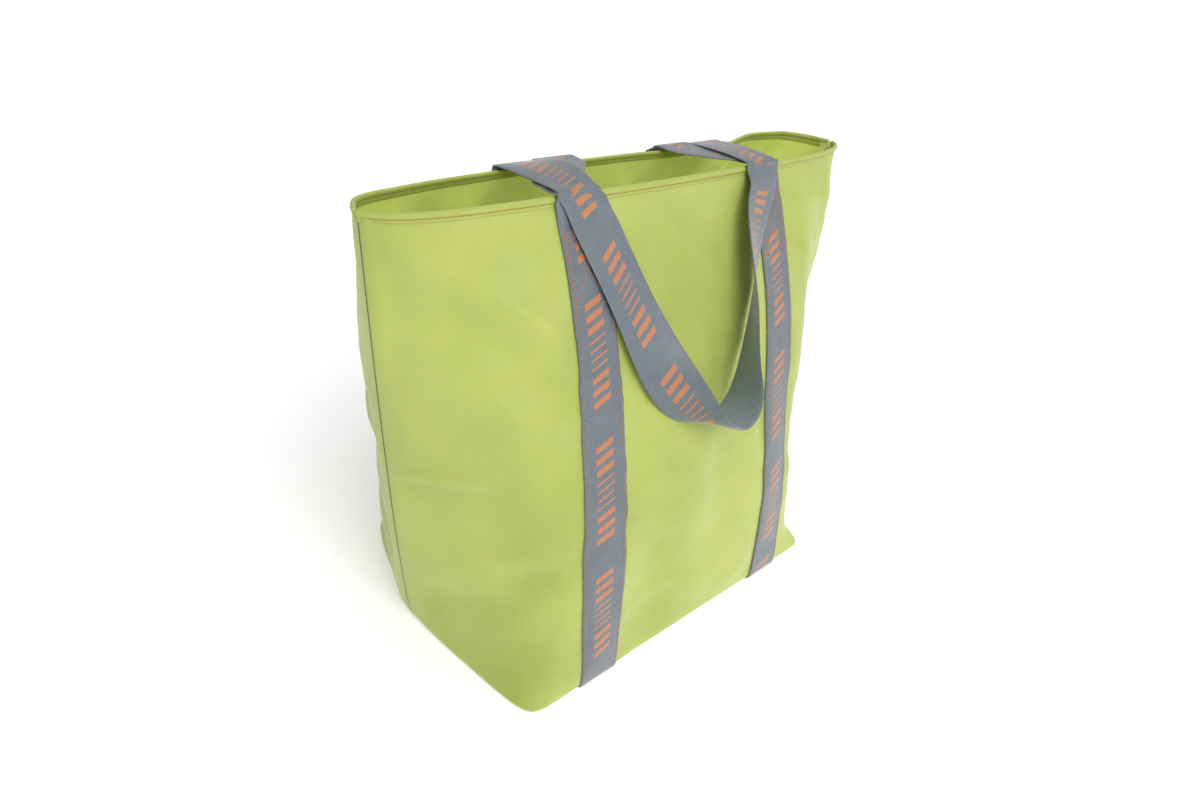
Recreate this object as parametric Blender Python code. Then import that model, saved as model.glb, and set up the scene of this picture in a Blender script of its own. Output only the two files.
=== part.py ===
"""Foldable tote bag: fabric body on two full-length webbing straps, with two webbing handles.

Units are metres, +Z is up and the front of the bag faces -Y.
The origin is the middle of the footprint, on the ground.
"""
import math

import bpy
import numpy as np
from mathutils import Vector

# Bag body
BODY_HEIGHT = 0.352        # from the bottom fold to the rim
RIM_HALF_WIDTH = 0.2565    # half the distance between the two rim corners
SEAM_HALF_WIDTH = 0.1908   # half the distance between the side seams at the base
BASE_HALF_DEPTH = 0.1268
FRONT_RIM_DEPTH = 0.0283   # from the seam plane to the front rim
BACK_RIM_DEPTH = 0.0401
PANEL_BULGE = 0.0258       # outward bow of the panels at mid height
# How steeply a section leaves the side seam: at the base, at the rim, and two bends between
FRONT_SLOPE = (10.8, 0.715, -2.53, 0.98)
BACK_SLOPE = (3.17, 1.66, -0.67, -0.23)
BACK_SKEW = 0.79           # the back of the mouth is fuller towards +X
FRONT_SEAM_RADIUS = 0.0016
BACK_SEAM_RADIUS = 0.0068
CORNER_SHARPNESS_BASE = 2.9
CORNER_SHARPNESS_RIM = 1.28
FABRIC = 0.0010
BASE_GAP = 0.0028          # base panel inside the lower edge of the body
GAP = 0.0003               # clearance between touching pieces

# Webbing
WEB_WIDTH = 0.038
WEB = 0.0012
STRAP_X = 0.1055           # centre of each strap
STRAP_GAP = 0.0007         # clearance between a strap and the bowed panel
FLOOR = WEB + GAP          # the fabric body stands on the straps beneath it
RIM_Z = FLOOR + BODY_HEIGHT

# Hem, seams and stitching
HEM_HEIGHT = 0.010
HEM_END_COLUMNS = 3        # panel columns left free at each rim corner
HEM_GAP = 0.0022           # clearance inside the bowed panel
BINDING_WIDTH = 0.009
BINDING_INSET = 0.006
THREAD = 0.0004
RIM_STITCH_DROP = 0.006    # rim stitch line below the rim
RIM_STITCH_END = 0.011     # end of the stitch line short of a rim corner
BOX_STITCH_TOP = 0.022     # top of the boxed cross below the rim
BOX_STITCH_HEIGHT = 0.045
BOX_STITCH_WIDTH = 0.030
STITCH_LINE = 0.0012
EDGE_STITCH_INSET = 0.0035

# Handles: the back handle is thrown forward over the mouth, the front handle backward
BACK_HINGE_Y = 0.0405
BACK_HINGE_Z = RIM_Z + 0.0030
FRONT_HINGE_Y = -0.0310
FRONT_HINGE_Z = RIM_Z + 0.0050
REAR_HINGE_Y = 0.0438
REAR_HINGE_Z = RIM_Z + 0.0026
BACK_LEG_ARCH = 0.005
FRONT_LEG_X_AT_BACK = 0.0665
BACK_LEG_X_AT_FRONT = (-0.101, 0.094)
HINGE_END = 0.0008         # distance of a webbing end from its hinge axis
LOOP_STRAIGHT = 0.045      # top of a hanging loop over which it turns upright

# Outer edge of each hanging loop: x, z, distance off the panel, turn of the webbing in degrees
FRONT_LOOP = (
    (-0.120, 0.3575, 0.0050, 0),
    (-0.115, 0.335, 0.0050, 0),
    (-0.104, 0.303, 0.0050, 0),
    (-0.092, 0.269, 0.0045, 3),
    (-0.077, 0.241, 0.0040, 18),
    (-0.057, 0.212, 0.0035, 45),
    (-0.030, 0.191, 0.0030, 75),
    (0.003, 0.187, 0.0030, 95),
    (0.032, 0.199, 0.0030, 78),
    (0.050, 0.223, 0.0035, 55),
    (0.066, 0.251, 0.0040, 38),
    (0.082, 0.286, 0.0050, 22),
    (0.100, 0.323, 0.0050, 6),
    (0.113, 0.3575, 0.0050, 0),
)
REAR_LOOP_HALF = (
    (0.0855, 0.3553, 0.0050, 0),
    (0.087, 0.330, 0.0050, 0),
    (0.087, 0.295, 0.0045, 6),
    (0.082, 0.255, 0.0040, 18),
    (0.068, 0.214, 0.0035, 34),
    (0.040, 0.182, 0.0030, 50),
    (0.000, 0.170, 0.0030, 58),
)

GREEN = (0.55, 0.64, 0.16)
WEB_GREY = (0.20, 0.23, 0.27)
THREAD_ORANGE = (0.72, 0.30, 0.08)


def clear_scene():
    for old in list(bpy.data.objects):
        bpy.data.objects.remove(old)


def new_collection(name):
    group = bpy.data.collections.new(name)
    bpy.context.scene.collection.children.link(group)
    return group


def make_material(name, colour, roughness, metallic=0.0):
    material = bpy.data.materials.new(name)
    material.use_nodes = True
    shader = material.node_tree.nodes["Principled BSDF"]
    shader.inputs["Base Color"].default_value = (*colour, 1.0)
    shader.inputs["Roughness"].default_value = roughness
    shader.inputs["Metallic"].default_value = metallic
    return material


# ---------------------------------------------------------------- bag surface

def half_width(t):
    """Half width between the side seams at height fraction t."""
    return SEAM_HALF_WIDTH + (RIM_HALF_WIDTH - SEAM_HALF_WIDTH) * t ** 0.83


def seam_slope(t, back):
    base, rim, quick, steady = BACK_SLOPE if back else FRONT_SLOPE
    late = math.log(rim / base) - quick - steady
    return base * math.exp(quick * t ** 0.25 + steady * t + late * t * t)


def panel_depth(x, t, back, inset=0.0):
    """Distance of a panel from the seam plane, for a section drawn in by inset."""
    rim = BACK_RIM_DEPTH if back else FRONT_RIM_DEPTH
    depth = BASE_HALF_DEPTH + (rim - BASE_HALF_DEPTH) * t + 4 * PANEL_BULGE * t * (1 - t) - inset
    slope = seam_slope(t, back)
    if back:
        slope *= math.exp(BACK_SKEW * t ** 3.7 * x / half_width(t))
    radius = BACK_SEAM_RADIUS if back else FRONT_SEAM_RADIUS
    sharpness = CORNER_SHARPNESS_BASE + (CORNER_SHARPNESS_RIM - CORNER_SHARPNESS_BASE) * t
    from_seam = max(half_width(t) - inset - abs(x), 1e-9)
    side = slope * from_seam + math.sqrt(2 * radius * from_seam)
    return (depth ** -sharpness + side ** -sharpness) ** (-1 / sharpness)


def surface(x, t, back, outward=0.0):
    """Point of the outer surface, moved outward along Y."""
    sign = 1 if back else -1
    return Vector((x, sign * (panel_depth(x, t, back) + outward), FLOOR + BODY_HEIGHT * t))


def surface_normal(x, t, back):
    step = 1e-3
    low = max(t - step, 0.0)
    high = min(t + step, 1.0)
    across = surface(x + step, t, back) - surface(x - step, t, back)
    up = surface(x, high, back) - surface(x, low, back)
    normal = across.cross(up).normalized()
    if (normal.y > 0) != back:
        normal.negate()
    return normal


def offset_point(x, t, back, distance):
    """Point at a distance off the outer surface, measured square to it."""
    return surface(x, t, back) + surface_normal(x, t, back) * distance


def height_steps(low=0.0, high=1.0, count=14):
    """Height fractions, closer together near the base corners."""
    return [low + (high - low) * (i / (count - 1)) ** 1.35 for i in range(count)]


def width_fractions(count=21):
    """Fractions across the panel, closer together towards the seams."""
    fractions = []
    for i in range(count):
        s = 2 * i / (count - 1) - 1
        fractions.append(math.copysign(1 - (1 - abs(s)) ** 2.0, s))
    return fractions


# ---------------------------------------------------------------- mesh builders

def make_object(name, vertices, faces, material, group):
    mesh = bpy.data.meshes.new(name)
    mesh.from_pydata([tuple(v) for v in vertices], [], faces)
    mesh.validate()
    mesh.update()
    mesh.materials.append(material)
    obj = bpy.data.objects.new(name, mesh)
    group.objects.link(obj)
    return obj


def grid_solid(name, outer, inner, material, group):
    """Closed shell between two matching grids of points, outer faces first."""
    rows = len(outer)
    columns = len(outer[0])
    layer = rows * columns
    vertices = [p for row in outer for p in row] + [p for row in inner for p in row]
    faces = []

    def index(i, j, side):
        return side * layer + i * columns + j

    for i in range(rows - 1):
        for j in range(columns - 1):
            faces.append((index(i, j, 0), index(i, j + 1, 0), index(i + 1, j + 1, 0), index(i + 1, j, 0)))
            faces.append((index(i, j, 1), index(i + 1, j, 1), index(i + 1, j + 1, 1), index(i, j + 1, 1)))
    for j in range(columns - 1):
        faces.append((index(0, j, 0), index(0, j, 1), index(0, j + 1, 1), index(0, j + 1, 0)))
        last = rows - 1
        faces.append((index(last, j, 0), index(last, j + 1, 0), index(last, j + 1, 1), index(last, j, 1)))
    for i in range(rows - 1):
        faces.append((index(i, 0, 0), index(i + 1, 0, 0), index(i + 1, 0, 1), index(i, 0, 1)))
        end = columns - 1
        faces.append((index(i, end, 0), index(i, end, 1), index(i + 1, end, 1), index(i + 1, end, 0)))
    obj = make_object(name, vertices, faces, material, group)
    face_outward(obj)
    return obj


def ring_solid(name, sections, material, group, closed=False):
    """Closed body swept through matching four-cornered sections."""
    corners = len(sections[0])
    vertices = [p for section in sections for p in section]
    faces = []
    count = len(sections)
    for i in range(count if closed else count - 1):
        here = i * corners
        there = ((i + 1) % count) * corners
        for k in range(corners):
            n = (k + 1) % corners
            faces.append((here + k, here + n, there + n, there + k))
    if not closed:
        faces.append(tuple(reversed(range(corners))))
        faces.append(tuple((count - 1) * corners + k for k in range(corners)))
    obj = make_object(name, vertices, faces, material, group)
    face_outward(obj)
    return obj


def face_outward(obj):
    """Turn every face outward: flip the mesh when its signed volume is negative."""
    mesh = obj.data
    mesh.calc_loop_triangles()
    volume = 0.0
    for triangle in mesh.loop_triangles:
        a, b, c = (mesh.vertices[i].co for i in triangle.vertices)
        volume += a.dot(b.cross(c)) / 6
    if volume < 0:
        mesh.flip_normals()


def webbing_section(centre, across, normal, width=WEB_WIDTH, thickness=WEB):
    half_across = across.normalized() * width / 2
    half_normal = normal.normalized() * thickness / 2
    return (
        centre - half_across - half_normal,
        centre + half_across - half_normal,
        centre + half_across + half_normal,
        centre - half_across + half_normal,
    )


def spline_points(rows, count):
    """Smooth curve through rows of numbers, sampled evenly along its length."""
    rows = np.array(rows, dtype=float)
    chord = np.linalg.norm(np.diff(rows[:, :2], axis=0), axis=1)
    knots = np.concatenate(([0.0], np.cumsum(chord)))
    slopes = np.gradient(rows, knots, axis=0)
    samples = []
    for s in np.linspace(0.0, knots[-1], count):
        k = min(int(np.searchsorted(knots, s, side="right")) - 1, len(knots) - 2)
        span = knots[k + 1] - knots[k]
        u = (s - knots[k]) / span
        samples.append(
            (2 * u**3 - 3 * u**2 + 1) * rows[k]
            + (u**3 - 2 * u**2 + u) * span * slopes[k]
            + (3 * u**2 - 2 * u**3) * rows[k + 1]
            + (u**3 - u**2) * span * slopes[k + 1]
        )
    return samples


# ---------------------------------------------------------------- fabric body

def build_panel(name, back, material, group):
    sign = 1 if back else -1
    outer = []
    inner = []
    for t in height_steps():
        z = FLOOR + BODY_HEIGHT * t
        outer_row = []
        inner_row = []
        for u in width_fractions():
            x = half_width(t) * u
            outer_row.append(Vector((x, sign * (panel_depth(x, t, back) + GAP), z)))
            x = (half_width(t) - FABRIC) * u
            inner_row.append(Vector((x, sign * (panel_depth(x, t, back, FABRIC) + GAP), z)))
        outer.append(outer_row)
        inner.append(inner_row)
    return grid_solid(name, outer, inner, material, group)


def build_hem(name, back, material, group):
    """Turned-in strip along the inside of the rim."""
    sign = 1 if back else -1
    gap = FABRIC + HEM_GAP
    columns = [RIM_HALF_WIDTH * u for u in width_fractions()[HEM_END_COLUMNS:-HEM_END_COLUMNS]]
    outer = []
    inner = []
    low = 1.0 - HEM_HEIGHT / BODY_HEIGHT
    for t in (low, 1.0):
        z = FLOOR + BODY_HEIGHT * t
        rows = ([], [])
        for x in columns:
            for row, inset in zip(rows, (gap, gap + FABRIC)):
                row.append(Vector((x, sign * (panel_depth(x, t, back, inset) + GAP), z)))
        outer.append(rows[0])
        inner.append(rows[1])
    return grid_solid(name, outer, inner, material, group)


def build_base(material, group):
    """Bottom panel inside the lower edge of the two body panels."""
    inset = FABRIC + BASE_GAP
    outline = []
    for back in (False, True):
        sign = 1 if back else -1
        fractions = width_fractions()
        if back:
            fractions = fractions[::-1]
        for u in fractions[1:-1]:
            x = (half_width(0.0) - inset) * u
            depth = panel_depth(x, 0.0, back, inset)
            outline.append((x, sign * depth))
    count = len(outline)
    vertices = [(x, y, FLOOR) for x, y in outline] + [(x, y, FLOOR + FABRIC) for x, y in outline]
    faces = [tuple(range(count)), tuple(range(2 * count - 1, count - 1, -1))]
    for i in range(count):
        n = (i + 1) % count
        faces.append((i, count + i, count + n, n))
    obj = make_object("base_panel", vertices, faces, material, group)
    face_outward(obj)
    return obj


def build_seam_binding(name, side, material, group):
    """Bound seam allowance standing inward from a side seam."""
    sections = []
    low = 0.004 / BODY_HEIGHT
    high = 1.0 - (HEM_HEIGHT + 0.002) / BODY_HEIGHT
    for t in height_steps(low, high):
        z = FLOOR + BODY_HEIGHT * t
        edge = half_width(t) - FABRIC - BINDING_INSET
        centre = Vector((side * (edge - BINDING_WIDTH / 2), 0.0, z))
        sections.append(webbing_section(centre, Vector((1, 0, 0)), Vector((0, 1, 0)), BINDING_WIDTH, FABRIC))
    return ring_solid(name, sections, material, group)


# ---------------------------------------------------------------- straps

def strip_section(x, t, back, half, near, far):
    """Cross-section of a strip lying on the panel, between two distances off it."""
    return (
        offset_point(x - half, t, back, near),
        offset_point(x + half, t, back, near),
        offset_point(x + half, t, back, far),
        offset_point(x - half, t, back, far),
    )


def build_panel_strap(name, x, back, material, group):
    near = GAP + STRAP_GAP
    half = WEB_WIDTH / 2
    columns = (x - half, x, x + half)
    inner = [[offset_point(c, t, back, near) for c in columns] for t in height_steps()]
    outer = [[offset_point(c, t, back, near + WEB) for c in columns] for t in height_steps()]
    return grid_solid(name, outer, inner, material, group)


def build_base_strap(name, x, material, group):
    reach = panel_depth(x, 0.0, False) + GAP + STRAP_GAP + WEB
    sections = []
    for y in (-reach, reach):
        centre = Vector((x, y, WEB / 2))
        sections.append(webbing_section(centre, Vector((1, 0, 0)), Vector((0, 0, 1))))
    return ring_solid(name, sections, material, group)


def build_edge_stitch(name, x, back, material, group):
    """Two rows of stitching along a strap, joined by the bar at its foot."""
    near = GAP + STRAP_GAP + WEB + GAP
    row = WEB_WIDTH / 2 - EDGE_STITCH_INSET
    foot = height_steps()[1]
    low = foot + STITCH_LINE / BODY_HEIGHT
    high = 1.0 - (BOX_STITCH_TOP + BOX_STITCH_HEIGHT + 0.003) / BODY_HEIGHT
    rows = [t for t in height_steps() if low < t < high]
    heights = [low] + rows + [high]
    sections = []
    for t in reversed(heights):
        sections.append(strip_section(x - row, t, back, STITCH_LINE / 2, near, near + THREAD))
    sections[-1] = stitch_corner(x, -1, row, low, foot, back, near)
    sections.append((
        offset_point(x, foot, back, near),
        offset_point(x, low, back, near),
        offset_point(x, low, back, near + THREAD),
        offset_point(x, foot, back, near + THREAD),
    ))
    sections.append(stitch_corner(x, 1, row, low, foot, back, near))
    for t in heights[1:]:
        flipped = strip_section(x + row, t, back, STITCH_LINE / 2, near, near + THREAD)
        sections.append((flipped[1], flipped[0], flipped[3], flipped[2]))
    return ring_solid(name, sections, material, group)


def stitch_corner(x, side, row, low, foot, back, near):
    """Mitred section where a stitch row turns into the bar at the foot."""
    out = x + side * (row + STITCH_LINE / 2)
    inside = x + side * (row - STITCH_LINE / 2)
    return (
        offset_point(out, foot, back, near),
        offset_point(inside, low, back, near),
        offset_point(inside, low, back, near + THREAD),
        offset_point(out, foot, back, near + THREAD),
    )


def build_box_stitch(name, x, back, material, group):
    """Stitched box with a cross that fixes the strap below the rim."""
    outer_w = BOX_STITCH_WIDTH / 2
    outer_h = BOX_STITCH_HEIGHT / 2
    line = STITCH_LINE
    inner_w = outer_w - line
    inner_h = outer_h - line
    curve = bpy.data.curves.new(name, "CURVE")
    curve.dimensions = "2D"
    curve.fill_mode = "BOTH"
    curve.extrude = THREAD / 2
    corners = ((-outer_w, -outer_h), (outer_w, -outer_h), (outer_w, outer_h), (-outer_w, outer_h))
    add_outline(curve, corners)
    angle = math.atan2(inner_h, inner_w)
    back_x = line / 2 / math.sin(angle)
    back_y = line / 2 / math.cos(angle)
    for sign in (-1, 1):
        add_outline(curve, (
            (-inner_w + back_x, sign * inner_h),
            (inner_w - back_x, sign * inner_h),
            (0.0, sign * back_y),
        ))
        add_outline(curve, (
            (sign * inner_w, -inner_h + back_y),
            (sign * inner_w, inner_h - back_y),
            (sign * back_x, 0.0),
        ))
    obj = bpy.data.objects.new(name, curve)
    middle = 1.0 - (BOX_STITCH_TOP + outer_h) / BODY_HEIGHT
    normal = surface_normal(x, middle, back)
    across = surface(x + 0.01, middle, back) - surface(x - 0.01, middle, back)
    along = normal.cross(across).normalized()
    clearance = GAP + STRAP_GAP + WEB + GAP + 0.0003
    obj.location = offset_point(x, middle, back, clearance + THREAD / 2)
    across = along.cross(normal)
    rotation = np.array((across, along, normal)).T
    obj.rotation_euler = matrix_euler(rotation)
    curve.materials.append(material)
    group.objects.link(obj)
    return obj


def add_outline(curve, points):
    spline = curve.splines.new("POLY")
    spline.points.add(len(points) - 1)
    for point, (x, y) in zip(spline.points, points):
        point.co = (x, y, 0.0, 1.0)
    spline.use_cyclic_u = True


def matrix_euler(rotation):
    """XYZ Euler angles of a rotation matrix given as rows."""
    y = math.asin(-rotation[2][0])
    x = math.atan2(rotation[2][1], rotation[2][2])
    z = math.atan2(rotation[1][0], rotation[0][0])
    return (x, y, z)


def build_rim_stitch(name, back, x_from, x_to, material, group):
    """One run of the stitch line under the rim, between straps or seams."""
    t = 1.0 - RIM_STITCH_DROP / BODY_HEIGHT
    drop = STITCH_LINE / BODY_HEIGHT / 2
    near = GAP + 2 * STRAP_GAP
    sections = []
    between = [half_width(t) * u for u in width_fractions()]
    between = [x for x in between if x_from + STITCH_LINE < x < x_to - STITCH_LINE]
    for x in [x_from] + between + [x_to]:
        sections.append((
            offset_point(x, t - drop, back, near),
            offset_point(x, t + drop, back, near),
            offset_point(x, t + drop, back, near + THREAD),
            offset_point(x, t - drop, back, near + THREAD),
        ))
    return ring_solid(name, sections, material, group)


# ---------------------------------------------------------------- handles

def build_leg(name, start, end, arch, early, material, group):
    """Webbing crossing the mouth from one rim to the other, as a shallow arch."""
    sections = []
    count = 9
    for i in range(count):
        s = i / (count - 1)
        sideways = min(s / early, 1.0)
        sideways = sideways * sideways * (3 - 2 * sideways)
        centre = start.lerp(end, s)
        centre.x = start.x + (end.x - start.x) * sideways
        centre.z += 4 * arch * s * (1 - s)
        sections.append(webbing_section(centre, Vector((1, 0, 0)), Vector((0, 0, 1))))
    return ring_solid(name, sections, material, group)


def loop_sections(rows, back, turn_scale, count):
    """Sections of a hanging loop whose outer edge lies along the panel."""
    sign = 1 if back else -1
    edge = []
    for x, z, off, turn in spline_points(rows, count):
        t = min(max((z - FLOOR) / BODY_HEIGHT, 0.0), 1.0)
        edge.append((Vector((x, sign * (panel_depth(x, t, back) + off), z)), t, turn))
    sections = []
    for i, (point, t, turn) in enumerate(edge):
        before = edge[max(i - 1, 0)][0]
        after = edge[min(i + 1, count - 1)][0]
        upright = min(max(1 - (edge[0][0].z - point.z) / LOOP_STRAIGHT, 0.0), 1.0)
        down = Vector((0, 0, -1 if i < count / 2 else 1))
        tangent = (after - before).normalized().lerp(down, upright).normalized()
        outward = surface_normal(point.x, min(t, 0.999), back).lerp(Vector((0, sign, 0)), upright)
        outward = (outward - tangent * outward.dot(tangent)).normalized()
        inward = tangent.cross(outward) * sign
        angle = math.radians(turn * turn_scale)
        across = inward * math.cos(angle) + outward * math.sin(angle)
        normal = tangent.cross(across)
        centre = point + across * WEB_WIDTH / 2
        sections.append(webbing_section(centre, across, normal))
    return sections


def loop_reach(sections):
    return max(abs(corner.y) for section in sections for corner in section)


def build_loops(web, group):
    """The loop in front, and the loop behind turned until it reaches as far out."""
    count = 41
    front = loop_sections(FRONT_LOOP, False, 1.0, count)
    reach = loop_reach(front)
    mirrored = [(-x, z, off, turn) for x, z, off, turn in REAR_LOOP_HALF]
    rows = mirrored + [row for row in reversed(REAR_LOOP_HALF[:-1])]
    low = 0.2
    high = 1.8
    for _ in range(40):
        middle = (low + high) / 2
        rear = loop_sections(rows, True, middle, count)
        if loop_reach(rear) < reach:
            low = middle
        else:
            high = middle
    ring_solid("back_handle_loop", front, web, group)
    ring_solid("front_handle_loop", rear, web, group)


# ---------------------------------------------------------------- assembly

def build_bag():
    group = new_collection("foldable_tote_bag")
    fabric = make_material("ripstop_green", GREEN, 0.45)
    lining = make_material("hem_green", tuple(0.9 * c for c in GREEN), 0.5)
    binding = make_material("binding_green", tuple(0.75 * c for c in GREEN), 0.6)
    web = make_material("webbing_grey", WEB_GREY, 0.7)
    handle_web = make_material("handle_webbing_grey", tuple(1.15 * c for c in WEB_GREY), 0.7)
    thread = make_material("thread_orange", THREAD_ORANGE, 0.6)

    build_base(fabric, group)
    for back, face in ((False, "front"), (True, "back")):
        build_panel(f"{face}_panel", back, fabric, group)
        build_hem(f"{face}_hem", back, lining, group)
        inner = STRAP_X - WEB_WIDTH / 2 - 0.001
        outer = STRAP_X + WEB_WIDTH / 2 + 0.001
        end = RIM_HALF_WIDTH - RIM_STITCH_END
        build_rim_stitch(f"{face}_rim_stitch_left", back, -end, -outer, thread, group)
        build_rim_stitch(f"{face}_rim_stitch_middle", back, -inner, inner, thread, group)
        build_rim_stitch(f"{face}_rim_stitch_right", back, outer, end, thread, group)
        for side, x in (("left", -STRAP_X), ("right", STRAP_X)):
            build_panel_strap(f"{face}_strap_{side}", x, back, web, group)
            build_box_stitch(f"{face}_box_stitch_{side}", x, back, thread, group)
            build_edge_stitch(f"{face}_edge_stitch_{side}", x, back, thread, group)
    for side, sign in (("left", -1), ("right", 1)):
        build_seam_binding(f"{side}_seam_binding", sign, binding, group)
        build_base_strap(f"base_strap_{side}", sign * STRAP_X, web, group)

    for side, sign, front_x in (("left", -1, BACK_LEG_X_AT_FRONT[0]), ("right", 1, BACK_LEG_X_AT_FRONT[1])):
        start = Vector((front_x, FRONT_HINGE_Y + HINGE_END, FRONT_HINGE_Z))
        end = Vector((sign * STRAP_X, BACK_HINGE_Y - HINGE_END, BACK_HINGE_Z))
        build_leg(f"back_handle_leg_{side}", start, end, BACK_LEG_ARCH, 1.0, handle_web, group)
        front_edge = -panel_depth(STRAP_X, 1.0, False) - GAP - STRAP_GAP - WEB
        start = Vector((sign * STRAP_X, front_edge, REAR_HINGE_Z))
        end = Vector((sign * FRONT_LEG_X_AT_BACK, REAR_HINGE_Y - HINGE_END, REAR_HINGE_Z))
        build_leg(f"front_handle_leg_{side}", start, end, 0.0, 0.85, handle_web, group)
    build_loops(handle_web, group)


clear_scene()
build_bag()
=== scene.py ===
import math

import bpy
import numpy as np
from mathutils import Matrix, Vector


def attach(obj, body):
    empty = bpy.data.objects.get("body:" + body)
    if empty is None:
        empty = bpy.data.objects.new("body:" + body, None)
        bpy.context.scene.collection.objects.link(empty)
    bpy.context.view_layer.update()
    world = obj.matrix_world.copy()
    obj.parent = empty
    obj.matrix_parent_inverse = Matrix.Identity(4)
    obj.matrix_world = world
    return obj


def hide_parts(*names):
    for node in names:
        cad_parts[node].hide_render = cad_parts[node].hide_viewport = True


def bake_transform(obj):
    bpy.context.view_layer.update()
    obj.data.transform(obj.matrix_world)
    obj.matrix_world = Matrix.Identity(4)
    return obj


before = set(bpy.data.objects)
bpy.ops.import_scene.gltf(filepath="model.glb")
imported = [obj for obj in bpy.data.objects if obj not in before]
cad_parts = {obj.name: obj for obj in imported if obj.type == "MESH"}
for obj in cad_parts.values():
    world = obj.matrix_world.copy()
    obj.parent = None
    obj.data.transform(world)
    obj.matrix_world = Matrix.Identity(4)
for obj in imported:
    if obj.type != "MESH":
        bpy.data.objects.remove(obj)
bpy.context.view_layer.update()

# ---------------- dimensions, in metres
# They are the CAD's, but for FRONT_BASE_DEPTH and CORNER_SHARPNESS_BASE, which make the front of the base fuller.
BODY_HEIGHT = 0.352
RIM_HALF_WIDTH = 0.2565
SEAM_HALF_WIDTH = 0.1908
FRONT_BASE_DEPTH = 0.1310
BACK_BASE_DEPTH = 0.1268
FRONT_RIM_DEPTH = 0.0283
BACK_RIM_DEPTH = 0.0401
PANEL_BULGE = 0.0258
FRONT_SLOPE = (10.8, 0.715, -2.53, 0.98)
BACK_SLOPE = (3.17, 1.66, -0.67, -0.23)
BACK_SKEW = 0.79
FRONT_SEAM_RADIUS = 0.0016
BACK_SEAM_RADIUS = 0.0068
CORNER_SHARPNESS_BASE = 4.4
CORNER_SHARPNESS_RIM = 1.28
FLOOR = 0.0015
WEB_WIDTH = 0.038
WEB = 0.0012
STRAP_X = 0.1055
CLOTH = 0.0008

# Where the bottom edge rolls under the bag
CORNER_RADIUS = 0.0032
ROLL = CORNER_RADIUS * math.pi / 2
TOP = BODY_HEIGHT - CORNER_RADIUS + ROLL

BODY = "bag_body"

PRINT_REPEAT = 0.100


# ---------------- bag surface

def smooth(x):
    """An eased step from 0 to 1."""
    x = np.clip(x, 0.0, 1.0)
    return x * x * (3 - 2 * x)


def bell(x, middle, half):
    """A smooth bump of height 1."""
    return np.exp(-((x - middle) / half) ** 2)


def bump(x, amount, middle, half):
    """The same of height amount."""
    return amount * bell(x, middle, half)


def half_width(t):
    """Half the distance between the side seams at height fraction t."""
    return SEAM_HALF_WIDTH + (RIM_HALF_WIDTH - SEAM_HALF_WIDTH) * t ** 0.83


def seam_slope(t, back):
    """How steeply a section leaves the side seam at height fraction t."""
    base, rim, quick, steady = BACK_SLOPE if back else FRONT_SLOPE
    late = math.log(rim / base) - quick - steady
    return base * np.exp(quick * t ** 0.25 * (1 - np.exp(-t / 0.030)) + steady * t + late * t * t)


def panel_depth(x, t, back, inset=0.0):
    """Distance of a panel from the seam plane at height fraction t."""
    rim = BACK_RIM_DEPTH if back else FRONT_RIM_DEPTH
    base = BACK_BASE_DEPTH if back else FRONT_BASE_DEPTH
    depth = base + (rim - base) * t + 4 * PANEL_BULGE * t * (1 - t) - inset
    slope = seam_slope(t, back)
    if back:
        slope = slope * np.exp(BACK_SKEW * t ** 3.7 * x / half_width(t))
    radius = BACK_SEAM_RADIUS if back else FRONT_SEAM_RADIUS
    sharpness = CORNER_SHARPNESS_BASE + (CORNER_SHARPNESS_RIM - CORNER_SHARPNESS_BASE) * t
    from_seam = np.maximum(half_width(t) - inset - np.abs(x), 1e-9)
    side = slope * from_seam + np.sqrt(2 * radius * from_seam)
    return (depth ** -sharpness + side ** -sharpness) ** (-1 / sharpness)


# How the back rim wanders off the smooth shape: places along it, shift backwards, shift upwards
BACK_RIM_X = (-0.2565, -0.205, -0.130, -0.080, 0.000, 0.080, 0.132, 0.188, 0.222, 0.2565)
BACK_RIM_OUT = (0.0, -0.0028, -0.0030, -0.0030, -0.0035, -0.0050, -0.0050, 0.0042, 0.0030, 0.0)
BACK_RIM_UP = (0.0, 0.0, -0.0004, -0.0004, -0.0008, -0.0020, -0.0020, 0.0012, 0.0012, 0.0)

# Where the cloth beside a seam stands off the smooth shape: amount, middle height, half height
BACK_LEFT_SWELL = (0.0160, 0.268, 0.070)
BACK_LEFT_HOLLOW = (0.0070, 0.090, 0.050)
BACK_LEFT_FOOT = (0.0105, 0.0, 0.070)
FRONT_RIGHT_HOLLOW = (0.0135, 0.125, 0.066)

# How far the front straps lean to the left: amount, middle and half height, as fractions of the bag's height
LEAN_LEFT = (0.0066, 0.30, 0.27)
LEAN_LEFT_ALL = 0.0012
LEAN_RIGHT = (0.0084, 0.42, 0.25)


def eased(x, places, values):
    """Smooth steps between values at rising places."""
    places, values = np.array(places), np.array(values)
    i = np.clip(np.searchsorted(places, x) - 1, 0, len(places) - 2)
    share = smooth((x - places[i]) / (places[i + 1] - places[i]))
    return values[i] + (values[i + 1] - values[i]) * share


def profile(s):
    """Height and inset of the panel at distance s up from where it leaves the base."""
    angle = np.clip(s / CORNER_RADIUS, 0.0, math.pi / 2)
    low = s < ROLL
    z = np.where(low, CORNER_RADIUS * (1 - np.cos(angle)), s - ROLL + CORNER_RADIUS)
    inset = np.where(low, CORNER_RADIUS * (1 - np.sin(angle)), 0.0)
    return z, inset


def edge_x(s):
    """Half the width of the panel at distance s up from the base edge."""
    z, inset = profile(s)
    return half_width(np.clip(z / BODY_HEIGHT, 0, 1)) - inset


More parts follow.
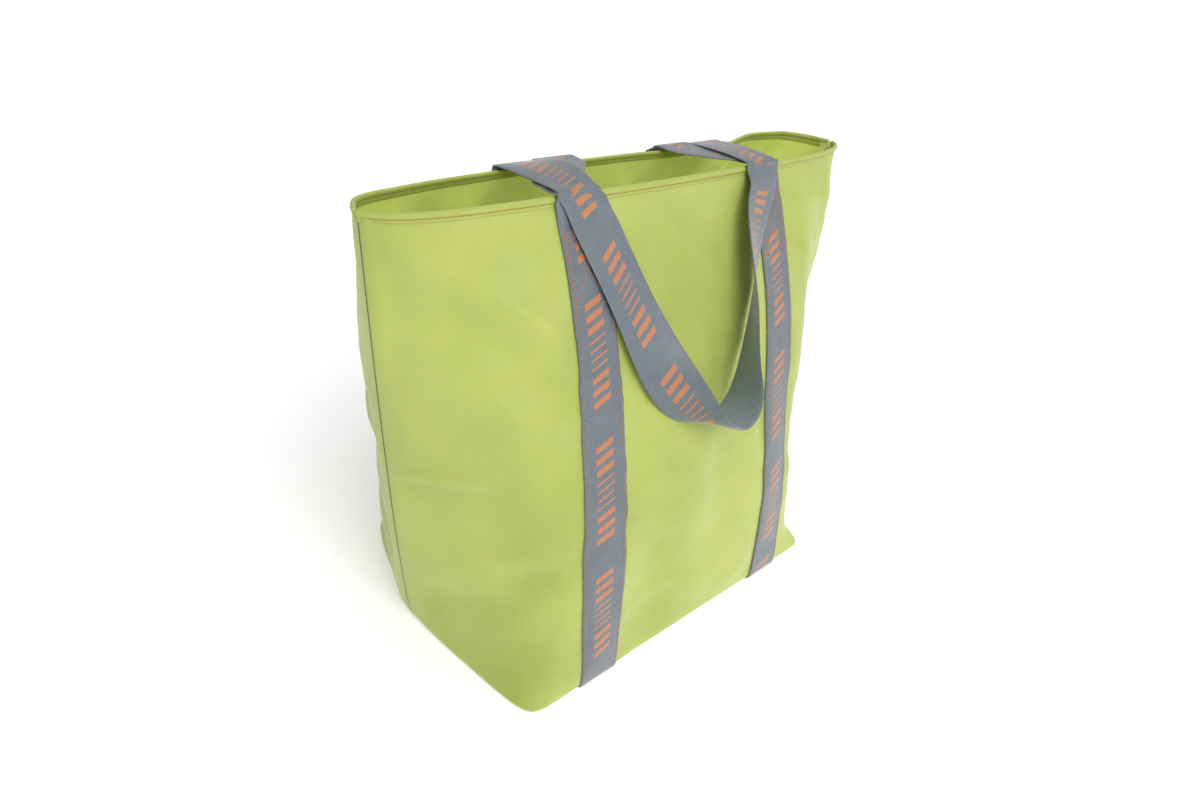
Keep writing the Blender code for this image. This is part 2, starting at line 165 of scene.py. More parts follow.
def bottom_lift(x, z):
    """The bottom edge lies on the floor beyond the straps and stands a little off it between them."""
    inner = np.cos(np.clip(x / (STRAP_X - WEB_WIDTH / 2), -1, 1) * math.pi / 2)
    outer = smooth((np.abs(x) - STRAP_X - WEB_WIDTH / 2) / 0.030)
    return (0.0008 * smooth(2.5 * inner) - 0.0012 * outer) * np.exp(-z / 0.030)


def bare(x, s, back):
    """Point of the smooth bag surface at distance s up from the base edge."""
    z, inset = profile(s)
    t = np.clip(z / BODY_HEIGHT, 0.0, 1.0)
    x, s = np.broadcast_arrays(x, s)
    height = FLOOR + z + bottom_lift(x, z)
    if back:
        depth = panel_depth(x, t, back, inset)
        free = smooth((z - 0.245) / 0.107)
        depth = depth + free * eased(x, BACK_RIM_X, BACK_RIM_OUT)
        height = height + free * eased(x, BACK_RIM_X, BACK_RIM_UP)
        edge = half_width(t) + x
        beside_seam = bump(z, *BACK_LEFT_SWELL) - bump(z, *BACK_LEFT_HOLLOW)
        depth = depth + beside_seam * smooth(edge / 0.012) * bell(edge, 0.0, 0.034)
        depth = depth - bump(z, *BACK_LEFT_FOOT) * smooth(edge / 0.016) * bell(x, -0.168, 0.034)
    else:
        lean = bump(t, *LEAN_LEFT) + LEAN_LEFT_ALL
        x = x - lean * bell(x, -STRAP_X, 0.044) - bump(t, *LEAN_RIGHT) * bell(x, STRAP_X, 0.040)
        depth = panel_depth(x, t, back, inset)
        edge = half_width(t) - x
        depth = depth - bump(z, *FRONT_RIGHT_HOLLOW) * smooth(edge / 0.030) * bell(x, 0.160, 0.042)
    return np.stack([x, depth if back else -depth, height], -1)


def unit(v):
    """Vectors scaled to length one."""
    return v / np.maximum(np.linalg.norm(v, axis=-1, keepdims=True), 1e-12)


def normals(x, s, back):
    """Outward normals of the panel."""
    x, s = np.broadcast_arrays(x, s)
    step = 0.0006
    limit = edge_x(s) - step
    inner = np.clip(x, -limit, limit)
    s_mid = np.clip(s, step, TOP - step)
    across = bare(inner + step, s_mid, back) - bare(inner - step, s_mid, back)
    low = np.clip(inner, -edge_x(s_mid - step), edge_x(s_mid - step))
    high = np.clip(inner, -edge_x(s_mid + step), edge_x(s_mid + step))
    along = bare(high, s_mid + step, back) - bare(low, s_mid - step, back)
    n = unit(np.cross(across, along))
    return -n if back else n


def waves(x, z, seed, count, shortest, longest):
    """A smooth irregular field of about unit size, the same on every run."""
    random = np.random.RandomState(seed)
    total = 0 * x + 0 * z
    for _ in range(count):
        length = shortest * (longest / shortest) ** random.rand()
        angle = random.rand() * 2 * math.pi
        phase = random.rand() * 2 * math.pi
        total = total + np.sin(2 * math.pi * (x * math.cos(angle) + z * math.sin(angle)) / length + phase)
    return total / math.sqrt(count / 2)


# Folds of the cloth: end points (x, z), half width, height. Negative heights are hollows.
FRONT_FOLDS = (
    ((-0.200, 0.315), (-0.165, 0.285), 0.014, 0.0018),
    ((-0.165, 0.285), (-0.130, 0.247), 0.014, 0.0020),
    ((-0.205, 0.285), (-0.155, 0.252), 0.015, -0.0016),
    ((-0.175, 0.240), (-0.130, 0.236), 0.007, -0.0012),
    ((-0.172, 0.222), (-0.124, 0.214), 0.009, 0.0014),
    ((-0.240, 0.310), (-0.215, 0.270), 0.020, -0.0022),
    ((-0.222, 0.158), (-0.190, 0.172), 0.006, 0.0010),
    ((-0.222, 0.148), (-0.185, 0.160), 0.007, -0.0010),
    ((-0.198, 0.040), (-0.167, 0.094), 0.013, -0.0022),
    ((-0.167, 0.094), (-0.120, 0.116), 0.011, -0.0020),
    ((-0.190, 0.075), (-0.150, 0.120), 0.016, 0.0012),
    ((-0.088, 0.129), (-0.054, 0.097), 0.008, -0.0013),
    ((-0.080, 0.140), (-0.050, 0.112), 0.009, 0.0008),
    ((-0.032, 0.333), (0.042, 0.268), 0.012, 0.0011),
    ((-0.070, 0.315), (-0.010, 0.262), 0.014, -0.0009),
    ((0.040, 0.240), (0.085, 0.200), 0.014, 0.0010),
    ((-0.060, 0.060), (0.010, 0.040), 0.015, 0.0010),
    ((0.020, 0.140), (0.080, 0.115), 0.013, -0.0011),
    ((0.150, 0.320), (0.172, 0.150), 0.014, 0.0006),
    ((0.196, 0.300), (0.190, 0.120), 0.013, -0.0008),
    ((0.215, 0.330), (0.214, 0.200), 0.012, 0.0004),
    ((0.150, 0.110), (0.182, 0.060), 0.012, -0.0012),
    ((-0.150, 0.030), (-0.130, 0.075), 0.012, 0.0010),
)
BACK_FOLDS = (
    ((-0.215, 0.345), (-0.190, 0.290), 0.012, -0.0022),
    ((-0.178, 0.350), (-0.170, 0.280), 0.012, 0.0022),
    ((-0.150, 0.345), (-0.140, 0.270), 0.012, -0.0020),
    ((-0.060, 0.350), (-0.045, 0.290), 0.016, 0.0016),
    ((0.010, 0.345), (0.045, 0.285), 0.016, -0.0018),
    ((0.165, 0.350), (0.160, 0.280), 0.008, -0.0024),
    ((0.186, 0.352), (0.180, 0.270), 0.007, 0.0026),
    ((0.204, 0.352), (0.196, 0.270), 0.006, -0.0024),
    ((0.222, 0.352), (0.214, 0.290), 0.006, 0.0020),
    ((-0.222, 0.180), (-0.195, 0.192), 0.007, 0.0016),
    ((-0.195, 0.060), (-0.150, 0.110), 0.014, -0.0020),
    ((0.190, 0.060), (0.150, 0.120), 0.014, -0.0020),
    ((0.200, 0.200), (0.150, 0.240), 0.015, 0.0018),
    ((-0.060, 0.140), (0.010, 0.105), 0.014, -0.0013),
    ((0.030, 0.220), (0.080, 0.170), 0.014, 0.0012),
    ((-0.085, 0.250), (-0.040, 0.215), 0.013, 0.0011),
)


def fold(x, z, start, end, half, height):
    """A ridge or hollow along one line of the panel."""
    ax, az = start
    bx, bz = end
    dx, dz = bx - ax, bz - az
    length = math.hypot(dx, dz)
    along = ((x - ax) * dx + (z - az) * dz) / length ** 2
    aside = ((x - ax) * dz - (z - az) * dx) / length
    past = np.maximum(np.maximum(-along, along - 1), 0) * length
    return height * np.exp(-(aside / half) ** 2 - (past / (1.3 * half)) ** 2)


# Heights of the cloth's relief
SLACK = 0.0021
RIPPLE = 0.00030
FOLD_SCALE = 2.3
STRAP_PUCKER = 0.00030
SEAM_PUCKER = 0.00022
RIM_PUCKER = 0.00026
DIMPLE = 0.0005


def relief(x, s, back):
    """How far the cloth stands out from the smooth bag surface: folds, slack and puckers at the seams."""
    x, s = np.broadcast_arrays(np.asarray(x, float), np.asarray(s, float))
    z, _ = profile(s)
    seed = 40 if back else 11
    out = SLACK * waves(x, z, seed, 9, 0.075, 0.190)
    out = out + RIPPLE * waves(x, z, seed + 1, 14, 0.022, 0.050)
    for start, end, half, height in (BACK_FOLDS if back else FRONT_FOLDS):
        out = out + FOLD_SCALE * fold(x, z, start, end, half, height)
    strap = np.abs(np.abs(x) - STRAP_X)
    out = out * (1 - 0.75 * np.exp(-(strap / 0.024) ** 4))
    beside = np.maximum(strap - WEB_WIDTH / 2, 0)
    pucker = 0.6 + 0.4 * waves(z, 0 * x, seed + 2, 5, 0.02, 0.06)
    pull = np.sin(2 * math.pi * z / 0.0085 + 3.0 * waves(x, z, seed + 3, 4, 0.03, 0.08))
    out = out + STRAP_PUCKER * pull * pucker * np.exp(-beside / 0.007) * (strap > WEB_WIDTH / 2)
    drop = TOP - s
    at_seam = np.maximum(edge_x(s) - np.abs(x), 0)
    tuck = np.sin(2 * math.pi * z / 0.011 + 2.5 * waves(x, z, seed + 5, 4, 0.03, 0.08))
    out = out + SEAM_PUCKER * tuck * np.exp(-at_seam / 0.008)
    if not back:
        out = out - DIMPLE * np.exp(-(np.hypot(x - 0.0366, z - 0.3335) / 0.0030) ** 2)
    gather = np.sin(2 * math.pi * x / 0.0068 + 2.5 * waves(x, z, seed + 4, 4, 0.02, 0.06))
    gather = RIM_PUCKER * gather * np.exp(-drop / 0.013) * smooth((drop - 0.0045) / 0.004)
    out = out * smooth((drop - 0.007) / 0.035) + gather
    return out * smooth(s / 0.035) * smooth(at_seam / 0.012)


def shell(x, s, back, off=0.0):
    """Point off the draped cloth's outer surface."""
    x, s = np.broadcast_arrays(np.asarray(x, float), np.asarray(s, float))
    point = bare(x, s, back)
    out = np.asarray(relief(x, s, back) + off)
    return point + normals(x, s, back) * out[..., None]


# ---------------- mesh helpers

def link(obj):
    bpy.context.scene.collection.objects.link(obj)
    return obj


def make_mesh(name, vertices, faces, materials, face_material=None, uv=None, crease=None):
    """A smooth-shaded mesh piece; uv gives a pair of metres for every corner of every face."""
    mesh = bpy.data.meshes.new(name)
    vertices = [tuple(v) for v in np.asarray(vertices, float)]
    mesh.from_pydata(vertices, [], [tuple(int(i) for i in f) for f in faces])
    for material in materials:
        mesh.materials.append(material)
    mesh.polygons.foreach_set("use_smooth", [True] * len(mesh.polygons))
    if face_material is not None:
        mesh.polygons.foreach_set("material_index", [int(i) for i in face_material])
    if uv is not None:
        layer = mesh.uv_layers.new(name="metres")
        layer.data.foreach_set("uv", np.asarray(uv, np.float32).ravel())
    mesh.update()
    obj = link(bpy.data.objects.new(name, mesh))
    if crease is not None:
        mesh.set_sharp_from_angle(angle=math.radians(crease))
    return obj


def grid_faces(rows, columns, wrap=False):
    """Quads over a grid of points; wrap joins each row into a ring."""
    faces = []
    for i in range(rows - 1):
        for j in range(columns if wrap else columns - 1):
            k = (j + 1) % columns
            faces.append((i * columns + j, i * columns + k, (i + 1) * columns + k, (i + 1) * columns + j))
    return faces


def tube_faces(rows, columns, flip=False):
    """Faces of a closed tube made of rings of points; the last two are its ends."""
    last = (rows - 1) * columns
    faces = grid_faces(rows, columns, wrap=True)
    faces += [tuple(range(columns - 1, -1, -1)), tuple(range(last, last + columns))]
    return [f[::-1] for f in faces] if flip else faces


def corner_uv(faces, vertex_uv):
    """The uv of every corner of every face, from the uv of each vertex."""
    return np.concatenate([np.asarray(vertex_uv)[list(f)] for f in faces])


def solidify(obj, thickness):
    """Thickness inwards, with the second material on the inside."""
    modifier = obj.modifiers.new("thickness", "SOLIDIFY")
    modifier.thickness = thickness
    modifier.offset = -1.0
    modifier.use_even_offset = False
    modifier.material_offset = 1


# ---------------- materials

class Nodes:
    """Short calls for a material's node tree."""

    def __init__(self, name):
        self.material = bpy.data.materials.new(name)
        self.material.use_nodes = True
        self.tree = self.material.node_tree
        self.shader = self.tree.nodes["Principled BSDF"]

    def new(self, kind, **settings):
        node = self.tree.nodes.new(kind)
        for key, value in settings.items():
            setattr(node, key, value)
        return node

    def put(self, value, socket):
        if isinstance(value, (int, float)):
            socket.default_value = value
        elif isinstance(value, tuple):
            socket.default_value = (*value, 1.0) if len(value) == 3 and socket.type == "RGBA" else value
        else:
            self.tree.links.new(value, socket)

    def math(self, operation, a, b=None):
        node = self.new("ShaderNodeMath", operation=operation)
        for value, socket in zip((a, b), node.inputs):
            if value is not None:
                self.put(value, socket)
        return node.outputs[0]

    def between(self, value, low, high):
        above = self.math("GREATER_THAN", value, low)
        below = self.math("LESS_THAN", value, high)
        return self.math("MULTIPLY", above, below)

    def ramp(self, value, low, high):
        node = self.new("ShaderNodeMapRange", interpolation_type="SMOOTHSTEP")
        for socket, x in zip(node.inputs, (value, low, high, 0.0, 1.0)):
            self.put(x, socket)
        return node.outputs[0]

    def mix(self, factor, a, b):
        node = self.new("ShaderNodeMix", data_type="RGBA")
        self.put(factor, node.inputs[0])
        self.put(a, node.inputs[6])
        self.put(b, node.inputs[7])
        return node.outputs[2]

    def noise(self, vector, scale, detail=3.0, roughness=0.5):
        node = self.new("ShaderNodeTexNoise")
        self.put(vector, node.inputs["Vector"])
        node.inputs["Scale"].default_value = scale
        node.inputs["Detail"].default_value = detail
        node.inputs["Roughness"].default_value = roughness
        return node.outputs[0]

    def object_coordinates(self):
        return self.new("ShaderNodeTexCoord").outputs["Object"]

    def uv_mm(self):
        node = self.new("ShaderNodeSeparateXYZ")
        uv = self.new("ShaderNodeUVMap", uv_map="metres")
        self.put(uv.outputs[0], node.inputs[0])
        return self.math("MULTIPLY", node.outputs[0], 1000.0), self.math("MULTIPLY", node.outputs[1], 1000.0)

    def bump(self, height, strength, distance):
        node = self.new("ShaderNodeBump")
        node.inputs["Strength"].default_value = strength
        node.inputs["Distance"].default_value = distance
        self.put(height, node.inputs["Height"])
        return node.outputs[0]

    def set(self, **values):
        for key, value in values.items():
            self.put(value, self.shader.inputs[key.replace("_", " ")])


GREEN = (0.415, 0.474, 0.112)
GREEN_DARK = (0.360, 0.416, 0.092)
GREEN_LIGHT = (0.440, 0.496, 0.130)


def fabric_material(name, light, dark, painted_fill_light=0.0):
    """Plain-woven nylon: a fine weave, slight mottling and a soft sheen. Thin cloth lets some light through it; a
    given emission of the light colour is painted light that makes the cloth glow.
    """
    n = Nodes(name)
    place = n.object_coordinates()
    broad = n.noise(place, 9.0, 4.0, 0.55)
    fine = n.noise(place, 420.0, 2.0, 0.6)
    u, v = n.uv_mm()
    warp = n.math("SINE", n.math("MULTIPLY", u, 2 * math.pi / 0.62))
    weft = n.math("SINE", n.math("MULTIPLY", v, 2 * math.pi / 0.62))
    weave = n.math("MULTIPLY", warp, weft)
    speckle = n.math("MULTIPLY", n.math("SUBTRACT", fine, 0.5), 0.35)
    tone = n.math("ADD", n.ramp(broad, 0.30, 0.70), speckle)
    tone = n.math("ADD", tone, n.math("MULTIPLY", weave, 0.05))
    n.set(Base_Color=n.mix(tone, dark, light))
    rough = n.math("ADD", n.math("MULTIPLY", fine, 0.10), 0.47)
    n.set(Roughness=rough)
    n.set(Specular_IOR_Level=0.40, Sheen_Weight=0.14, Sheen_Roughness=0.45)
    n.set(Subsurface_Weight=0.85, Subsurface_Radius=(1.0, 1.0, 0.55), Subsurface_Scale=0.0024)
    height = n.math("ADD", n.math("MULTIPLY", weave, 0.5), fine)
    n.set(Normal=n.bump(height, 0.16, 0.00012))
    # Emission of the cloth's own colour: painted light, not a lamp.
    if painted_fill_light:
        n.set(Emission_Color=light, Emission_Strength=painted_fill_light)
    return n.material


WEB_DARK = (0.056, 0.071, 0.086)
WEB_LIGHT = (0.170, 0.202, 0.232)
# The side without print is paler, and the factor is set higher still to lift it where it lies in shade: partly
# painted light.
PLAIN_SIDE_PALER_WITH_PAINTED_LIGHT = 2.5            # how much paler the side without print is
PRINT = (0.500, 0.186, 0.078)
PRINT_DARK = (0.44, 0.155, 0.060)
# The printed motif, in millimetres: first and last place of each group of bars, pitch, width of a bar
PRINT_BARS = ((4.0, 25.5, 8.5, 4.6), (30.5, 50.6, 6.0, 1.5), (55.0, 76.5, 8.5, 4.6))
PRINT_HALF = 7.8


def webbing_material(name, printed):
    """Twill webbing: diagonal ribs with a selvedge, and on its face a printed motif of slanted bars."""
    n = Nodes(name)
    u, v = n.uv_mm()
    place = n.object_coordinates()
    grain = n.noise(place, 900.0, 2.0, 0.6)
    patch = n.noise(place, 60.0, 3.0, 0.6)
    wobble = n.math("MULTIPLY", n.noise(place, 160.0, 2.0, 0.5), 0.8)
    diagonal = n.math("ADD", n.math("MULTIPLY", u, 0.80), n.math("MULTIPLY", v, 0.60))
    diagonal = n.math("ADD", diagonal, wobble)
    rib = n.math("SINE", n.math("MULTIPLY", diagonal, 2 * math.pi / 1.35))
    thread = n.math("SINE", n.math("MULTIPLY", v, 2 * math.pi / 0.70))
    rib = n.math("ADD", n.math("MULTIPLY", rib, 0.42), n.math("MULTIPLY", thread, 0.12))
    height = n.math("ADD", rib, 0.5)
    edge = n.ramp(n.math("ABSOLUTE", v), 17.2, 18.2)
    selvedge = n.math("SINE", n.math("MULTIPLY", u, 2 * math.pi / 0.9))
    height = n.math("ADD", height, n.math("MULTIPLY", edge, n.math("MULTIPLY", selvedge, 0.4)))
    # Raised ribs and selvedge threads are painted lighter and the hollows darker: painted highlight and shade of the
    # twill, on top of the random grain.
    tone = n.math("ADD", n.math("MULTIPLY", height, 0.80 if printed else 0.30), n.math("MULTIPLY", grain, 0.75))
    patches = n.math("MULTIPLY", n.math("SUBTRACT", patch, 0.5), 0.5 if printed else 0.15)
    tone = n.math("ADD", tone, patches)
    # Paler webbing colours for the plain side: its own paler tone plus painted light.
    paler_with_painted_light = 1.0 if printed else PLAIN_SIDE_PALER_WITH_PAINTED_LIGHT
    dark, light = (tuple(paler_with_painted_light * c for c in tint) for tint in (WEB_DARK, WEB_LIGHT))
    colour = n.mix(n.ramp(tone, 0.15, 1.15), dark, light)
    if printed:
        repeat = n.math("MODULO", n.math("ADD", u, 100000.0), PRINT_REPEAT * 1000)
        slant = n.math("ADD", repeat, n.math("MULTIPLY", v, 0.38))
        ink = 0.0
        for first, last, pitch, bar in PRINT_BARS:
            on_bar = n.math("LESS_THAN", n.math("MODULO", n.math("SUBTRACT", slant, first), pitch), bar)
            ink = n.math("MAXIMUM", ink, n.math("MULTIPLY", n.between(slant, first, last), on_bar))
        ink = n.math("MULTIPLY", ink, n.math("LESS_THAN", n.math("ABSOLUTE", v), PRINT_HALF))
        wear = n.ramp(n.math("ADD", grain, n.math("MULTIPLY", rib, 0.18)), 0.22, 0.40)
        ink = n.math("MULTIPLY", ink, n.math("ADD", n.math("MULTIPLY", wear, 0.22), 0.74))
        orange = n.mix(n.math("MULTIPLY", height, 0.35), PRINT, PRINT_DARK)
        colour = n.mix(ink, colour, orange)
    n.set(Base_Color=colour)
    n.set(Roughness=n.math("ADD", n.math("MULTIPLY", grain, 0.16), 0.36 if printed else 0.5))
    n.set(Specular_IOR_Level=0.6, Sheen_Weight=0.85, Sheen_Roughness=0.30)
    n.set(Normal=n.bump(n.math("ADD", height, n.math("MULTIPLY", grain, 0.5)), 0.45, 0.00030))
    return n.material


def thread_material(name, colour):
    """Twisted sewing thread."""
    n = Nodes(name)
    place = n.object_coordinates()
    twist = n.noise(place, 1500.0, 2.0, 0.5)
    dark = tuple(0.62 * c for c in colour)
    n.set(Base_Color=n.mix(n.ramp(twist, 0.3, 0.7), dark, colour))
    n.set(Roughness=0.55, Sheen_Weight=0.3)
    n.set(Normal=n.bump(twist, 0.4, 0.0002))
    return n.material


fabric = fabric_material("nylon_green", GREEN_LIGHT, GREEN_DARK)
# The inside of every panel glows: painted light that brightens the bag's interior.
inner_fabric = fabric_material("nylon_green_inside", GREEN_LIGHT, GREEN_DARK, painted_fill_light=0.32)
hem_fabric = fabric_material("nylon_green_hem", GREEN, GREEN_DARK)
seam_fabric = fabric_material("nylon_green_seam", GREEN_DARK, tuple(0.8 * c for c in GREEN_DARK))
web_face = webbing_material("webbing_face", True)
web_plain = webbing_material("webbing_plain", False)
orange_thread = thread_material("thread_orange", (0.62, 0.22, 0.055))
tan_thread = thread_material("thread_tan", (0.50, 0.26, 0.045))
# Near-black thread for the outside seam's groove: painted shade of the crease.
groove_shade_thread = thread_material("thread_groove_shade", (0.115, 0.105, 0.025))


# ---------------- cloth panels

def panel_columns(count=281):
    """Fractions of the half width, closer together at the seams."""
    u = np.linspace(-1, 1, count)
    return np.sign(u) * (1 - (1 - np.abs(u)) ** 1.35)


def panel_rows():
    """Distances up from the base edge, closer together round its corner."""
    low = np.linspace(0, ROLL, 9)
    high = np.linspace(ROLL, TOP - 0.0010, 150)
    return np.concatenate([low, high[1:]])


def panel_points(back):
    """Grid of points of a panel's outer surface, with the side seam's groove and ridge."""
    s = panel_rows()[:, None]
    u = panel_columns()[None, :]
    x = u * edge_x(s)
    at_seam = edge_x(s) - np.abs(x)
    groove = -0.0012 * np.exp(-(at_seam / 0.0016) ** 2)
    ridge = 0.0004 * np.exp(-((at_seam - 0.0042) / 0.0022) ** 2)
    points = bare(x, s, back)
    n = normals(x, s, back)
    seam_side = np.zeros_like(n)
    seam_side[..., 0] = np.sign(x)
    blend = np.exp(-(at_seam / 0.0012) ** 2)[..., None]
    n = unit(n * (1 - blend) + seam_side * blend)
    points = points + n * (relief(x, s, back) + groove + ridge)[..., None]
    side = 1.0 if back else -1.0
    points[..., 1] = side * np.maximum(side * points[..., 1], 0.0)
    points[:, 0, 1] = 0.0
    points[:, -1, 1] = 0.0
    return points, x, s


def build_cloth(name, back, node):
    """One panel of the bag, with its thickness."""
    points, x, s = panel_points(back)
    rows, columns = points.shape[:2]
    faces = grid_faces(rows, columns)
    if back:
        faces = [f[::-1] for f in faces]
    uv = np.stack(np.broadcast_arrays(x, s), -1).reshape(-1, 2)
    obj = make_mesh(name, points.reshape(-1, 3), faces, [fabric, inner_fabric], uv=corner_uv(faces, uv))
    solidify(obj, CLOTH)
    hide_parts(node)
    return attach(obj, BODY)


ACROSS_BASE = [k / 39 for k in range(40)]
BASE_RISE = 0.0012          # how far the middle of the base stands off the floor


def build_base_cloth():
    """The base, from the foot of the front panel to the foot of the back panel."""
    front = panel_points(False)[0][0]
    back = panel_points(True)[0][0]
    points = np.array([front * (1 - f) + back * f for f in ACROSS_BASE])
    for row, f in zip(points, ACROSS_BASE):
        row[:, 2] += BASE_RISE * math.sin(math.pi * f) ** 2 * np.cos(row[:, 0] / 0.19 * math.pi / 2) ** 2
    faces = [f[::-1] for f in grid_faces(*points.shape[:2])]
    uv = points[..., :2].reshape(-1, 2)
    obj = make_mesh("cloth_base", points.reshape(-1, 3), faces, [fabric, inner_fabric], uv=corner_uv(faces, uv))
    solidify(obj, CLOTH)
    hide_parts("base_panel")
    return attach(obj, BODY)


# Section of the turned rim: distance out from the panel and up from the rim, in millimetres
RIM_SECTION = (
    (0.05, -6.2), (0.20, -5.2), (0.00, -3.9), (0.60, -3.4), (1.15, -2.7), (1.30, -1.8), (1.10, -0.8),
    (0.55, -0.1), (-0.30, 0.2), (-1.15, -0.1), (-1.85, -0.8), (-2.10, -1.8), (-2.00, -2.8), (-1.60, -3.5),
    (-1.00, -3.9), (-1.25, -4.8), (-1.20, -8.0), (-0.90, -8.2), (-0.85, -7.0), (-0.40, -6.4),
)
RIM_CREASE = -0.0039


def rim_points(x, back, out, up):
    """Points off the rim, out from the panel and up from its top edge, with the panel's level outward normals."""
    s = np.full_like(x, TOP + min(up, 0) - 0.0002)
    point = bare(x / RIM_HALF_WIDTH * edge_x(s), s, back)
    top = np.full_like(x, TOP - 0.0002)
    n = normals(x / RIM_HALF_WIDTH * edge_x(top), top, back)
    n[:, 2] = 0
    n = unit(n)
    point = point + n * np.asarray(out)[..., None]
    point[:, 2] += max(up, 0)
    return point, n


def build_rim_roll(name, back, node):
    """The turned rim, slightly puffed between its stitches."""
    x = panel_columns(361) * (RIM_HALF_WIDTH - 0.0002)
    puff = 1 + 0.08 * np.sin(2 * math.pi * x / 0.0031) + 0.10 * waves(x, 0 * x, 70 + back, 6, 0.006, 0.03)
    side = 1.0 if back else -1.0
    rings = []
    for out, up in RIM_SECTION:
        swell = puff if out > 0.3 else np.ones_like(x)
        p = rim_points(x, back, out * 0.001 * swell, up * 0.001)[0]
        p[:, 1] = side * np.maximum(side * p[:, 1], 0.0)
        rings.append(p)
    points = np.stack(rings, 1)
    faces = tube_faces(*points.shape[:2], flip=not back)
    girth = np.concatenate([[0], np.cumsum(np.hypot(*np.diff(np.array(RIM_SECTION), axis=0).T) * 0.001)])
    uv = np.stack(np.broadcast_arrays(x[:, None], girth[None, :]), -1).reshape(-1, 2)
    obj = make_mesh(name, points.reshape(-1, 3), faces, [hem_fabric], uv=corner_uv(faces, uv))
    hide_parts(node)
    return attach(obj, BODY)


# ---------------- stitches

RING_AT = np.array([-0.5, -0.43, -0.2, 0.2, 0.43, 0.5])
RING_SIZE = np.array([0.30, 0.82, 1.0, 1.0, 0.82, 0.30])
RING_SINK = np.array([-1.0, -0.35, 0.0, 0.0, -0.35, -1.0])
STITCH_SIDES = 6


def build_stitches(name, runs, length, radius, material, nodes=()):
    """One mesh of thread stitches, each a short rounded bar whose ends dive into the cloth.

    Each run is the stitches' centres, directions along and directions outward.
    """
    centres, along, out = (np.concatenate([np.asarray(run[k], float) for run in runs]) for k in range(3))
    along = unit(along)
    out = unit(out - along * np.sum(out * along, -1, keepdims=True))
    aside = np.cross(along, out)
    angles = np.arange(STITCH_SIDES) * 2 * math.pi / STITCH_SIDES
    *bar, first, last = tube_faces(len(RING_AT), STITCH_SIDES, flip=True)
    bar, ends = np.array(bar), np.array([first, last])
    vertices, faces = [], []
    for c, a, o, w in zip(centres, along, out, aside):
        base = len(vertices)
        for at, size, sink in zip(RING_AT, RING_SIZE, RING_SINK):
            for angle in angles:
                up, side = sink + size * math.sin(angle), size * math.cos(angle)
                vertices.append(c + a * at * length + o * radius * up + w * radius * side)
        faces.extend(map(tuple, bar + base))
        faces.extend(map(tuple, ends + base))
    obj = make_mesh(name, vertices, faces, [material])
    if nodes:
        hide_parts(*nodes)
    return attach(obj, BODY)


def spaced(points, pitch):
    """Points, directions and spans evenly along a dense polyline."""
    points = np.asarray(points, float)
    run = np.concatenate([[0], np.cumsum(np.linalg.norm(np.diff(points, axis=0), axis=1))])
    count = max(int(run[-1] / pitch), 1)
    at = (np.arange(count) + 0.5) * run[-1] / count
    middle = np.stack([np.interp(at, run, points[:, k]) for k in range(3)], -1)
    ahead = np.stack([np.interp(at + 0.3 * pitch, run, points[:, k]) for k in range(3)], -1)
    behind = np.stack([np.interp(at - 0.3 * pitch, run, points[:, k]) for k in range(3)], -1)
    return middle, ahead - behind, at / run[-1]


def rim_stitches(name, back, inside, nodes=()):
    """The row of stitches under the rim; outside, the straps interrupt it."""
    runs = []
    side_gap = WEB_WIDTH / 2 + 0.0005
    end = RIM_HALF_WIDTH - 0.0035
    spans = [(-end, end)]
    if not inside:
        spans = [(-end, -STRAP_X - side_gap), (-STRAP_X + side_gap, STRAP_X - side_gap), (STRAP_X + side_gap, end)]
    for low, high in spans:
        x = np.linspace(low, high, 300)
        line = rim_points(x, back, -0.00125 if inside else 0.00022, RIM_CREASE)[0]
        middle, direction, share = spaced(line, 0.0031)
        at_x = np.interp(share, np.linspace(0, 1, 300), x)
        out = rim_points(at_x, back, 0.0, RIM_CREASE)[1]
        runs.append((middle, direction, -out if inside else out))
    build_stitches(name, runs, 0.0027, 0.00036, tan_thread, nodes)


def strap_offset(s):
    """Gap under a strap, which lifts over the turned rim at its top."""
    return 0.0005 + 0.0011 * smooth((s - (TOP - 0.020)) / 0.012)


def on_strap(x, s, back):
    """Point on a strap's face."""
    return shell(x, s, back, strap_offset(np.asarray(s)) + WEB + 0.00012)


def edge_stitches(name, x, back, node):
    """The rows of stitches along both edges of a strap."""
    runs = []
    for side in (-1, 1):
        at = x + side * (WEB_WIDTH / 2 - 0.0027)
        s = np.linspace(0.004, TOP - 0.020, 400)
        middle, direction, share = spaced(on_strap(np.full_like(s, at), s, back), 0.0028)
        near = np.interp(share, np.linspace(0, 1, 400), s)
        runs.append((middle, direction, normals(np.full_like(near, at), near, back)))
    build_stitches(name, runs, 0.0022, 0.00024, orange_thread, [node])


def box_stitches(name, x, back, node):
    """The boxed cross that fixes a strap below the rim."""
    runs = []
    top, foot, half = TOP - 0.022, TOP - 0.067, 0.0145
    corners = [(-half, foot), (half, foot), (half, top), (-half, top)]
    lines = list(zip(corners, corners[1:] + corners[:1])) + [(corners[0], corners[2]), (corners[1], corners[3])]
    for (xa, sa), (xb, sb) in lines:
        f = np.linspace(0, 1, 60)
        xs, ss = x + xa + (xb - xa) * f, sa + (sb - sa) * f
        middle, direction, share = spaced(on_strap(xs, ss, back), 0.0026)
        out = normals(np.interp(share, f, xs), np.interp(share, f, ss), back)
        runs.append((middle, direction, out))
    build_stitches(name, runs, 0.0023, 0.00028, orange_thread, [node])


# ---------------- webbing

ACROSS = np.array([-0.5, -0.485, -0.44, -0.3, -0.15, 0.0, 0.15, 0.3, 0.44, 0.485, 0.5])
EDGE_THIN = np.array([0.35, 0.80, 1.0, 1.0, 1.0, 1.0, 1.0, 1.0, 1.0, 0.80, 0.35])


